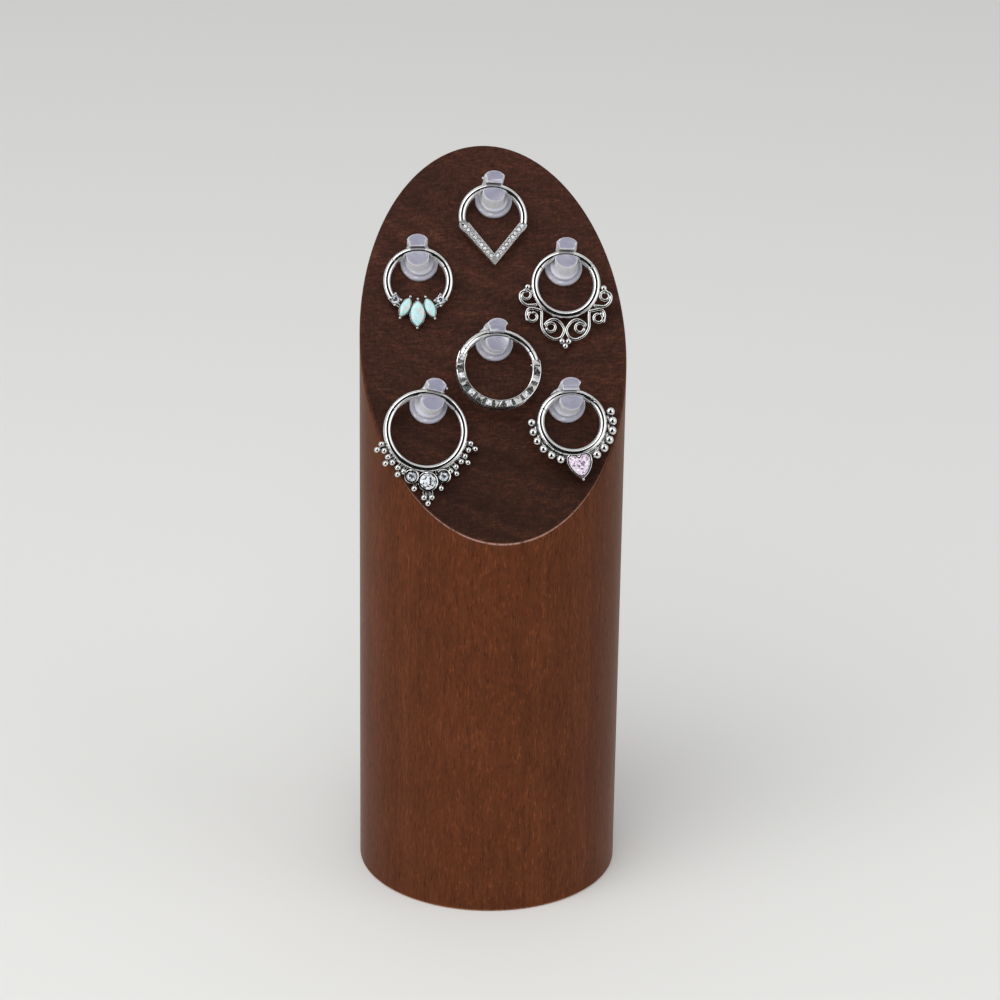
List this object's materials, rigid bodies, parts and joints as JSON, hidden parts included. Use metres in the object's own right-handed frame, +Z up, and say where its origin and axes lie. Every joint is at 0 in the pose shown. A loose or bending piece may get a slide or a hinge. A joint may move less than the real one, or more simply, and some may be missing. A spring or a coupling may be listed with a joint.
{
  "type": "body jewelry display stand",
  "caption": "Slant-cut round hardwood block with translucent silicone holders pushed into its slanted face, each gripping a hinged segment ring with beads, scrolls or stones.",
  "frame": {"origin": "centre of the block's round foot, on the surface that it stands on", "axes": "+Z up along the block's axis, -Y the way the slanted face looks, +X to the right seen from the front"},
  "size_m": [0.04, 0.04, 0.1102],
  "materials": {
    "wood": "satin brown stain",
    "silicone": "translucent satin",
    "steel": "mirror polished",
    "crystal": "faceted",
    "opal": "milky with colour flecks",
    "pink_crystal": "faceted"
  },
  "bodies": {
    "stand": {"wood_block": "wood", "holder_top": "silicone", "holder_upper_left": "silicone", "holder_upper_right": "silicone", "holder_centre": "silicone", "holder_lower_left": "silicone", "holder_lower_right": "silicone"},
    "top_segment": {"top_segment": "steel"},
    "top_ring": {"top_ring_body": "steel", "top_hinge_pin": "steel", "top_pave_stone_01": "crystal", "top_pave_stone_02": "crystal", "top_pave_stone_03": "crystal", "top_pave_stone_04": "crystal", "top_pave_stone_05": "crystal", "top_pave_stone_06": "crystal", "top_pave_stone_07": "crystal", "top_pave_stone_08": "crystal", "top_pave_stone_09": "crystal", "top_pave_stone_10": "crystal", "top_pave_stone_11": "crystal", "top_pave_stone_12": "crystal", "top_pave_stone_13": "crystal", "top_pave_stone_14": "crystal", "top_pave_stone_15": "crystal", "top_pave_stone_16": "crystal", "top_pave_stone_17": "crystal", "top_pave_stone_18": "crystal"},
    "upper_left_segment": {"upper_left_segment": "steel"},
    "upper_left_ring": {"upper_left_ring_body": "steel", "upper_left_hinge_pin": "steel", "upper_left_round_stone_1": "crystal", "upper_left_round_stone_2": "crystal", "upper_left_opal_1": "opal", "upper_left_opal_2": "opal", "upper_left_opal_3": "opal"},
    "upper_right_segment": {"upper_right_segment": "steel"},
    "upper_right_ring": {"upper_right_ring_body": "steel", "upper_right_hinge_pin": "steel"},
    "centre_segment": {"centre_segment": "steel"},
    "centre_ring": {"centre_ring_body": "steel", "centre_hinge_pin": "steel", "centre_square_stone_1": "crystal", "centre_square_stone_2": "crystal", "centre_square_stone_3": "crystal", "centre_square_stone_4": "crystal", "centre_square_stone_5": "crystal", "centre_square_stone_6": "crystal", "centre_square_stone_7": "crystal"},
    "lower_left_segment": {"lower_left_segment": "steel"},
    "lower_left_ring": {"lower_left_ring_body": "steel", "lower_left_hinge_pin": "steel", "lower_left_round_stone_1": "crystal", "lower_left_round_stone_2": "crystal", "lower_left_round_stone_3": "crystal"},
    "lower_right_segment": {"lower_right_segment": "steel"},
    "lower_right_ring": {"lower_right_ring_body": "steel", "lower_right_hinge_pin": "steel", "lower_right_heart_stone": "pink_crystal"}
  },
  "joints": [
    {"name": "top_swing", "type": "hinge", "parent": "stand", "child": "top_segment", "pos_m": [0.00117, 0.01304, 0.10575], "axis": [-0.9974, 0.0345, 0.0631], "range_deg": [-1.3, 60]},
    {"name": "top_clicker", "type": "hinge", "parent": "top_segment", "child": "top_ring", "pos_m": [-0.00372, 0.00988, 0.10096], "axis": [-0.0057, 0.8365, -0.5479], "range_deg": [0, 60]},
    {"name": "upper_left_swing", "type": "hinge", "parent": "stand", "child": "upper_left_segment", "pos_m": [-0.01083, 0.00678, 0.09812], "axis": [-0.997, 0.0754, -0.0197], "range_deg": [-1.5, 60]},
    {"name": "upper_left_clicker", "type": "hinge", "parent": "upper_left_segment", "child": "upper_left_ring", "pos_m": [-0.01444, 0.00618, 0.09664], "axis": [0.0745, 0.8486, -0.5237], "range_deg": [0, 48]},
    {"name": "upper_right_swing", "type": "hinge", "parent": "stand", "child": "upper_right_segment", "pos_m": [0.01153, 0.00619, 0.09718], "axis": [-0.9952, 0.0935, 0.0273], "range_deg": [-1, 60]},
    {"name": "upper_right_clicker", "type": "hinge", "parent": "upper_right_segment", "child": "upper_right_ring", "pos_m": [0.01523, 0.00469, 0.09535], "axis": [-0.0627, -0.8301, 0.5541], "range_deg": [0, 60]},
    {"name": "centre_swing", "type": "hinge", "parent": "stand", "child": "centre_segment", "pos_m": [0.00019, -0.00186, 0.08793], "axis": [-0.9985, -0.0386, 0.0394], "range_deg": [-10, 60]},
    {"name": "centre_clicker", "type": "hinge", "parent": "centre_segment", "child": "centre_ring", "pos_m": [-0.00461, -0.00374, 0.08614], "axis": [-0.055, 0.7568, -0.6514], "range_deg": [0, 22]},
    {"name": "lower_left_swing", "type": "hinge", "parent": "stand", "child": "lower_left_segment", "pos_m": [-0.00966, -0.00758, 0.08064], "axis": [-0.9685, 0.0951, 0.2302], "range_deg": [-1, 60]},
    {"name": "lower_left_clicker", "type": "hinge", "parent": "lower_left_segment", "child": "lower_left_ring", "pos_m": [-0.01576, -0.00908, 0.07889], "axis": [-0.0483, 0.835, -0.5482], "range_deg": [0, 60]},
    {"name": "lower_right_swing", "type": "hinge", "parent": "stand", "child": "lower_right_segment", "pos_m": [0.01064, -0.00788, 0.08035], "axis": [-1, 0, 0], "range_deg": [-8, 60]},
    {"name": "lower_right_clicker", "type": "hinge", "parent": "lower_right_segment", "child": "lower_right_ring", "pos_m": [0.01423, -0.00896, 0.07908], "axis": [0, -0.7638, 0.6455], "range_deg": [0, 60]}
  ]
}
